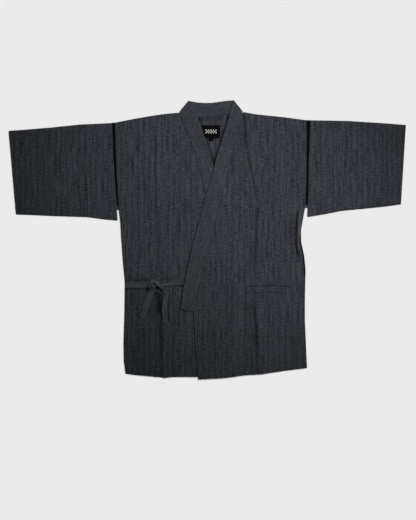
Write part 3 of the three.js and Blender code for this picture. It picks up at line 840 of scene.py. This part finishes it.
# Painted shade and light on the left front: painted shade in the pressed folds and the side pucker's dark
# line, a painted shadow along the right edge below the pucker, a painted highlight on the strip outside the
# pucker, and a broad faint painted lightening over the lower part.
FRONT_LEFT_SHADE = [
    ([(104, 366), (108, 345), (109.5, 311), (110.5, 285)], 0.8, 2.6, 2.4, 0.2),
    ([(109.5, 315), (111, 271), (116, 239), (122, 215), (127, 190)], 0.4, 2.6, 2.4, 0.2),
    ([(119, 362), (123, 348)], 0.5, 2, 2, 0.3),
    ([(98, 352), (104, 300), (108, 262)], 0.35, 5, 4, 0.2),
    ([(142, 120), (142, 46), (139, -43), (134, -110)], 0.4, 6, 1.8, 0.2),
    ([(134, -126), (138, -217), (144, -320), (146, -392)], 0.45, 11, 2.4, 0.06),
    ([(262, 90), (258.5, 62), (256.5, 32), (255.5, 0), (256.5, -22), (262, -50)], 4.0, 2.3, 1.7, 0.16),
    ([(268, 88), (264, 60), (262, 32), (261.5, 0), (263, -24), (267, -48)], -1.0, 1.7, 2.6, 0.2),
    ([(190, -230), (196, -300), (198, -396)], -0.1, 90, 70, 0),
    ([(268.5, 16), (269.5, -5), (274.5, -27), (279, -47), (281.5, -75), (282, -110)], 2.4, 3.2, 3.2, 0.15),
]


def make_front_left():
    """The front that lies over: side seam and shoulder folded down to the table."""
    flat, across, along, width, height = body_grid("front_left", OVER_CORNERS, FINE)
    x, y = flat[..., 0], flat[..., 1]
    hem = hem_share(along)[:, None]
    edge_hem = smooth((9 - across) / 2)[None, :] * smooth((-205 - y) / 6)
    thick = CLOTH * (1 + 0.6 * np.maximum(hem, edge_hem)) + 0 * x
    lift = loose(x, y, 1.0, 61) + folds(x, y, FRONT_LEFT_FOLDS, 200) + hem_line(along)[:, None]
    support = sample(draped(8), x, y)
    z = support + thick / 2 + np.maximum(lift, 0.02)
    z = roll_down(z, np.broadcast_to((width - across)[None, :], x.shape))
    z = roll_down(z, np.broadcast_to((height - along)[:, None], x.shape))
    middle = raised(flat, z)
    settle(middle, CLOTH)
    # painted shade above 0 and painted highlight below 0
    dark = np.clip(folds(x, y, FRONT_LEFT_SHADE, 200), -1, 1)
    return finish_piece(shell("front_left_cloth", middle, thick, dark=dark), COTTON, "cotton", "front_left")


POCKET_FOLDS = [
    ([(118, -138), (118.5, -210), (118, -280)], 0.8, 3, 3, 0.1),
    ([(134, -136), (138, -217), (142, -284)], -1.0, 8, 2.5, 0.05),
    ([(141, -136), (145, -217), (149, -284)], 1.3, 3.5, 12, 0.05),
    ([(186, -150), (190, -200), (186, -260)], 0.6, 9, 9, 0.35),
    ([(225, -150), (220, -210), (226, -270)], 0.6, 8, 8, 0.35),
]
# Painted shade on the dark side of the pressed fold across the pocket.
POCKET_SHADE = [
    ([(133, -136), (138, -217), (142, -284)], 0.45, 8.5, 2.4, 0.03),
]


def make_pocket():
    """Patch pocket: sewn down at three edges, its hemmed mouth a little open."""
    flat, across, along, width, height = body_grid("pocket", step=(1.8, 2.6))
    x, y = flat[..., 0], flat[..., 1]
    top_hem = smooth((along - (height - MOUTH_HEM)) / 3)[:, None]
    thick = CLOTH * (1 + 0.6 * top_hem) + 0 * x
    near_mouth = smooth((along - (height - 45)) / 45)[:, None]
    mouth = np.sin(np.pi * np.clip(across / width, 0, 1))[None, :] * near_mouth
    sewn = np.minimum(np.minimum(across[None, :], (width - across)[None, :]), along[:, None])
    thick = thick * (0.25 + 0.75 * smooth(sewn / 5))
    side = np.minimum(across, width - across)[None, :]
    free = smooth(side / 7) * smooth(along / 32)[:, None]
    lift = free * (loose(x, y, 0.45, 71) + folds(x, y, POCKET_FOLDS, 300) + mouth)
    lift -= 0.3 * np.exp(-(((along - (height - 20)) / 1.6) ** 2))[:, None]
    front = sample(land, x, y)
    bridged = np.maximum(sample(blur(spread(land, 1), 1), x, y) - front, 0)
    sunk = 1 - smooth(sewn / 4)
    rest = front + (smooth(sewn / 9) - 1.3 * sunk) * bridged
    z = rest + thick / 2 + 0.08 - 0.12 * sunk + np.maximum(lift, 0.0)
    middle = raised(flat, z)
    settle(middle, CLOTH)
    # Painted shadow along the mouth and down the upper left edge, a painted highlight along the foot, and a
    # faint painted lightening over the whole pocket.
    painted_mouth_shadow = np.exp(-(((height - along) / 1.7) ** 2))[:, None]
    painted_mouth_shadow = painted_mouth_shadow * smooth((x - 116) / 8) * smooth((252 - x) / 14)
    painted_side_shade = np.exp(-((across / 1.3) ** 2))[None, :] * smooth((y + 225) / 40)
    painted_foot_highlight = np.exp(-((along / 3.5) ** 2))[:, None]
    dark = folds(x, y, POCKET_SHADE, 320) + 1.2 * painted_mouth_shadow + 0.25 * painted_side_shade - 0.35 * painted_foot_highlight - 0.06
    dark = np.clip(dark, -1, 1)
    return finish_piece(shell("pocket_cloth", middle, thick, dark=dark), COTTON, "cotton", "pocket")


# ---- Sleeves and lace, folded over the shoulder line ----
def folded_tube(node, lift, step=STEP, open_below=False, wall=CLOTH, across_step=None, edges=None):
    """Rows of the middle of the wall, round the flattened tube: top layer, fold, bottom layer, fold.

    Also the number of rows in one layer, the distances across the tube, and its width.
    """
    edges = edges or edges_of(node)
    width, height = size_of(edges)
    radius = (wall + GAP) / 2
    across = grid_shares(width, across_step or step, wall / 2 + EDGE_IN)
    along = grid_shares(height, step, radius + wall / 2)
    flat = patch(edges, across, along)
    low = wall / 2
    top = lift(flat[..., 0], flat[..., 1], across * width, along * height, width, height)
    upper = raised(flat, low + 2 * radius + top)
    lower = raised(flat, np.full(flat.shape[:2], low))[::-1]

    def fold(line, way, turns):
        rows = []
        for turn in np.radians(turns):
            row = line.copy()
            row[:, 1] += way * radius * math.sin(turn)
            row[:, 2] = low + radius * (1 + math.cos(turn))
            rows.append(row)
        return np.array(rows)

    parts = [upper, fold(upper[-1], 1, (36, 72, 108, 144)), lower]
    if not open_below:
        parts.append(fold(lower[-1], -1, (144, 108, 72, 36)))
    return np.concatenate(parts), len(along), across * width, width


def make_sleeve(side, cuff_left, rows, seed):
    name = f"sleeve_{side}"

    def lift(x, y, across, along, width, height):
        from_fold = np.minimum(along, height - along)[:, None]
        from_cuff = (across if cuff_left else width - across)[None, :]
        ease = smooth(from_fold / 9)
        top = ease * (loose(x, y, 0.95, seed) + folds(x, y, rows, seed + 50) + hem_line(from_cuff, CUFF_HEM))
        return np.maximum(top, 0)

    middle, layer, across, width = folded_tube(name, lift)
    from_cuff = across if cuff_left else width - across
    thick = CLOTH * (1 + 0.6 * hem_share(from_cuff, CUFF_HEM))[None, :] + np.zeros(middle.shape[:2])
    settle(middle[:layer], CLOTH)
    sleeve = shell(f"{name}_cloth", middle, thick, loops=True)
    return finish_piece(sleeve, COTTON, "cotton", name)


def make_lace(side):
    """Ladder lace: a dense strip with a cord along each edge and raised rungs, folded over the shoulder."""
    name = f"inset_{side}"

    def lift(x, y, across, along, width, height):
        share = across[None, :] / width
        cords = 0.4 * np.exp(-(((share - 0.2) / 0.09) ** 2)) + 0.4 * np.exp(-(((share - 0.8) / 0.09) ** 2))
        rungs = 0.45 * np.cos(2 * math.pi * along / 3.0)[:, None] * smooth((0.32 - np.abs(share - 0.5)) / 0.1)
        return smooth(np.minimum(along, height - along) / 6)[:, None] * (0.25 + cords + rungs)

    edges = edges_of(name)
    for edge, way in (("left", -1), ("right", 1)):
        edges[edge][:, 0] += way * 1.4
        edges[edge][0, 1] -= 2.2
    edges["bottom"] = np.array([edges["left"][0], edges["right"][0]])
    edges["top"] = np.array([edges["left"][-1], edges["right"][-1]])
    middle, layer, _, _ = folded_tube(name, lift, 0.75, True, LACE_THICK, 0.7, edges)
    settle(middle[:layer], LACE_THICK)
    joined = int(np.searchsorted(middle[:layer, 0, 1] - middle[0, 0, 1], UNDERARM_JOIN))
    for part, rows in (("over", middle[:joined]), ("under", middle[-joined:])):
        finish_piece(shell(f"underarm_{side}_{part}", rows, LACE_THICK), COTTON, "cotton")
    return finish_piece(shell(f"lace_{side}", middle[joined:-joined], LACE_THICK), LACE, "lace", name)


SLEEVE_RIGHT_FOLDS = [
    ([(-352, 330), (-353, 240), (-351, 150), (-348, 70)], -1.2, 4, 2.5, 0.1),
    ([(-346, 330), (-347, 240), (-345, 150), (-342, 70)], 1.1, 3, 12, 0.1),
    ([(-456, 318), (-458, 220), (-452, 120)], 0.9, 9, 5, 0.3),
    ([(-462, 300), (-464, 200), (-458, 110)], -0.6, 4, 3, 0.3),
    ([(-330, 186), (-300, 180), (-272, 190)], 0.8, 5, 5, 0.35),
    ([(-326, 200), (-296, 197), (-272, 206)], -0.5, 3, 3, 0.35),
    ([(-410, 300), (-404, 220), (-412, 130)], 0.7, 9, 9, 0.35),
    ([(-500, 290), (-506, 200), (-498, 120)], 0.8, 9, 9, 0.35),
    ([(-300, 320), (-306, 260), (-298, 210)], 0.7, 8, 8, 0.35),
    ([(-310, 150), (-316, 110), (-308, 75)], 0.7, 8, 8, 0.35),
    ([(-540, 250), (-530, 180), (-535, 110)], 0.6, 8, 8, 0.35),
]
SLEEVE_LEFT_FOLDS = [
    ([(368, 340), (369, 280), (370, 200), (373, 90)], -1.2, 2.5, 3, 0.06),
    ([(374, 340), (375, 280), (376, 200), (379, 90)], 1.1, 3, 12, 0.06),
    ([(362, 335), (362, 250), (366, 120)], 0.8, 8, 4, 0.2),
    ([(330, 330), (322, 250), (330, 170)], 0.8, 9, 9, 0.35),
    ([(320, 150), (328, 120), (322, 85)], 0.7, 8, 8, 0.35),
    ([(420, 320), (428, 240), (420, 150)], 0.7, 9, 9, 0.35),
    ([(470, 320), (462, 230), (472, 140)], 0.8, 9, 9, 0.35),
    ([(520, 310), (528, 240), (522, 150)], 0.7, 8, 8, 0.35),
    ([(300, 230), (340, 222), (380, 230)], 0.5, 5, 5, 0.35),
]


# ---- Ties ----
def make_tie(name, node, rows, step=1.5, blend=22):
    """A folded tape through rows of x, y, width, lift above what it lies on, and roll in degrees."""
    rows = np.array(rows, float)
    reached = lengths(rows[:, :2])
    count = max(6, round(reached[-1] / step))
    at = np.linspace(0, reached[-1], count)
    fine = np.stack([np.interp(at, reached, rows[:, k]) for k in range(5)], axis=-1)
    for _ in range(int(blend / step)):
        fine[1:-1] = (fine[:-2] + 2 * fine[1:-1] + fine[2:]) / 4
    ahead = np.gradient(fine[:, :2], axis=0)
    ahead /= np.linalg.norm(ahead, axis=1, keepdims=True)
    side = np.stack([ahead[:, 1], -ahead[:, 0]], axis=-1)
    widest = rows[:, 2].max()
    shares = grid_shares(widest, 1.2) - 0.5
    roll = np.radians(fine[:, 4])[:, None]
    reach = (fine[:, 2][:, None] - TAPE) * shares[None, :]
    x = fine[:, 0][:, None] + side[:, 0][:, None] * reach * np.cos(roll)
    y = fine[:, 1][:, None] + side[:, 1][:, None] * reach * np.cos(roll)
    ground = sample(draped(3), x, y)
    relief = -0.4 * np.exp(-((shares * widest / 1.1) ** 2))[None, :] + 0.15 * noise(x, y, 7, 7, 81)
    z = ground + TAPE / 2 + fine[:, 3][:, None] + reach * np.sin(roll) + relief
    middle = np.stack([x, y, z], axis=-1)
    weave = np.stack(np.broadcast_arrays(shares[None, :] * widest, at[:, None]), axis=-1)
    settle(middle, TAPE)
    return finish_piece(shell(name, middle, TAPE, weave), TAPE_COTTON, "tie_tape", node)


def make_ties():
    """Two tapes tied in a flat knot. The front tie arches over the side tie and hangs beside it."""
    make_tie("tie_side_tape", "tie_side", [
        (-235, -131, 17, 0.3, 0), (-215, -130, 17, 0.8, 0), (-195, -130.5, 16.5, 0.4, 0),
        (-178, -131, 15, 0.8, 0), (-165, -131.5, 12, 1.6, 0), (-158, -131.5, 10, 2.0, 0),
    ])
    make_tie("tie_front_tape", "tie_front", [
        (-146, -132, 7, 2.4, 0), (-134, -131.5, 7.5, 1.6, 10), (-122, -129, 10, 0.8, 8),
        (-105, -126, 13.5, 0.6, 0), (-85, -124, 15, 0.7, 0), (-69.5, -123, 16, 0.6, 0),
    ])
    make_tie("tie_knot_core", "tie_knot", [
        (-163, -129, 9, 0.1, 0), (-157, -129, 10.5, 1.2, 0), (-151, -129.5, 11, 1.6, 0),
        (-146, -130.5, 9, 0.4, 0),
    ], step=1.0)
    make_tie("tie_side_tail_tape", "tie_side_tail", [
        (-152, -131, 10, 1.0, 0), (-154, -138, 12, 1.4, 0), (-159, -149, 15, 1.4, 6),
        (-167, -169, 17.5, 0.8, 4), (-177, -195, 18, 1.1, 0), (-184, -214, 17.5, 0.7, -3),
        (-188.5, -226, 17, 0.4, 0),
    ])
    make_tie("tie_front_tail_tape", "tie_front_tail", [
        (-168, -138, 8.5, 0.2, 0), (-164, -130.5, 9, 0.5, -8), (-159.5, -123, 8.5, 1.0, -6),
        (-153, -118, 8.5, 1.4, 0), (-146.5, -122, 9, 1.0, 0), (-138, -130, 10, 0.5, 0),
        (-128, -138.5, 10.5, 0.4, 0), (-119, -147, 12, 0.5, 0), (-115.5, -156, 13.5, 0.8, 0),
        (-120.5, -170, 15.5, 1.0, -2), (-122.5, -190, 16, 1.0, -2), (-122, -212, 15.5, 0.9, 0),
        (-120.5, -228, 13.5, 0.7, 0), (-119.5, -242, 11, 0.3, 0),
    ], blend=9)


# ---- Stitches ----
def stitch_lines(name, lines, slot, pitch=3.4, length=2.4, half_width=0.25, height=0.18):
    """Short raised threads along lines on top of the cloth, as one mesh."""
    points, faces = [], []
    for line in lines:
        reached = lengths(line)
        starts = np.arange(0.5, reached[-1] - length, pitch)
        for start in starts:
            a = point_at(line, [start / reached[-1]])[0]
            b = point_at(line, [(start + length) / reached[-1]])[0]
            side = np.array([a[1] - b[1], b[0] - a[0]]) / length * half_width
            middle = (a + b) / 2
            flat = [a, middle - side, b, middle + side]
            ground = [float(sample(land, np.array(p[0]), np.array(p[1]))) for p in flat]
            first = len(points)
            points += [(*p, z - 0.2) for p, z in zip(flat, ground)]
            points += [(*middle, max(ground) + height)]
            faces += [[first + k for k in face] for face in
                      ((0, 1, 4), (1, 2, 4), (2, 3, 4), (3, 0, 4), (2, 1, 0), (0, 3, 2))]
    points = np.array(points)
    return finish_piece(make_mesh(name, points, np.array(faces), points[:, :2], rounded=False), THREAD, slot)


def line_in(edges, share, along=True, start=0.0, end=1.0):
    """A line across a patch at one height, or up it at one place."""
    run = np.linspace(start, end, 60)
    if along:
        return patch(edges, run, np.array([share]))[0]
    return patch(edges, np.array([share]), run)[:, 0]


def make_stitches():
    right, left = edges_of("front_right", UNDER_CORNERS), edges_of("front_left", OVER_CORNERS)
    share = HEM / lengths(right["left"])[-1]
    shown = 0.655  # share of the right front's hem that the left front leaves bare
    stitch_lines("hem_stitches", [line_in(right, share, end=shown), line_in(left, share)], "cotton")
    pocket = edges_of("pocket")
    size = lengths(pocket["left"])[-1]
    in_from_edge, mouth = 2.2 / size, 1 - 20 / size
    stitch_lines("pocket_stitches", [
        line_in(pocket, in_from_edge, True, in_from_edge, 1 - in_from_edge),
        line_in(pocket, in_from_edge, False, in_from_edge, 1),
        line_in(pocket, 1 - in_from_edge, False, in_from_edge, 1),
        line_in(pocket, mouth, True, in_from_edge, 1 - in_from_edge),
    ], "cotton")
    cuffs = []
    for name, cuff_left in (("sleeve_right", True), ("sleeve_left", False)):
        edges = edges_of(name)
        share = CUFF_HEM / lengths(edges["bottom"])[-1]
        cuffs.append(line_in(edges, share if cuff_left else 1 - share, False, 0.01, 0.99))
    stitch_lines("cuff_stitches", cuffs, "cotton")


# ---- Table and light ----
def make_table():
    reach, below = 4.0, -0.0004
    mesh = bpy.data.meshes.new("table")
    corners = [(way_x * reach, way_y * reach, below) for way_x, way_y in DIAGONALS]
    mesh.from_pydata(corners, [], [(0, 1, 2, 3)])
    table = bpy.data.objects.new("table", mesh)
    bpy.context.scene.collection.objects.link(table)
    material = bpy.data.materials.new("pale_table")
    material.use_nodes = True
    shader = material.node_tree.nodes["Principled BSDF"]
    shader.inputs["Base Color"].default_value = (0.8, 0.8, 0.8, 1)
    shader.inputs["Roughness"].default_value = 1.0
    shader.inputs["Specular IOR Level"].default_value = 0.0
    mesh.materials.append(material)
    return table


def make_lights(table, pieces):
    """A soft sun that lights only the table, and a nearer, soft pool of light that lights only the cloth."""
    scene = bpy.context.scene
    scene.view_settings.view_transform = "Standard"
    world = bpy.data.worlds.new("studio")
    world.use_nodes = True
    world.node_tree.nodes["Background"].inputs["Color"].default_value = (1, 1, 1, 1)
    world.node_tree.nodes["Background"].inputs["Strength"].default_value = 0.115
    scene.world = world

    def light(name, kind, energy, aim, bearing, elevation, distance, receivers, **settings):
        data = bpy.data.lights.new(name, kind)
        data.energy = energy
        for key, value in settings.items():
            setattr(data, key, value)
        made = bpy.data.objects.new(name, data)
        bearing, elevation = math.radians(bearing), math.radians(elevation)
        way = Vector((math.cos(bearing) * math.cos(elevation), math.sin(bearing) * math.cos(elevation),
                      math.sin(elevation)))
        made.location = Vector((*aim, 0)) + way * distance
        made.rotation_mode = "QUATERNION"
        made.rotation_quaternion = (-way).to_track_quat("-Z", "Y")
        made.scale = (1.12, 0.92 * math.sin(elevation), 1)
        scene.collection.objects.link(made)
        group = bpy.data.collections.new(f"lit by {name}")
        for piece in receivers:
            group.objects.link(piece)
        made.light_linking.receiver_collection = group

    light("window", "SUN", 3.42, (0, 0), 50, 58, 2, [table], angle=math.radians(40))
    light("lamp", "SPOT", 770.0, (0.085, 0.16), 52, 41, 4.5, pieces, spot_size=math.radians(19.6),
          spot_blend=1.0, shadow_soft_size=0.22)


# ---- The jacket, from the table up ----
make_back()
make_label()
make_front_right()
_, over_collar = make_collar()
make_front_left()
settle(over_collar, BAND)
make_pocket()
make_sleeve("right", True, SLEEVE_RIGHT_FOLDS, 400)
make_sleeve("left", False, SLEEVE_LEFT_FOLDS, 500)
make_lace("right")
make_lace("left")
make_ties()
make_stitches()

pieces = [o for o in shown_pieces() if "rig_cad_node" not in o]
make_lights(make_table(), pieces)
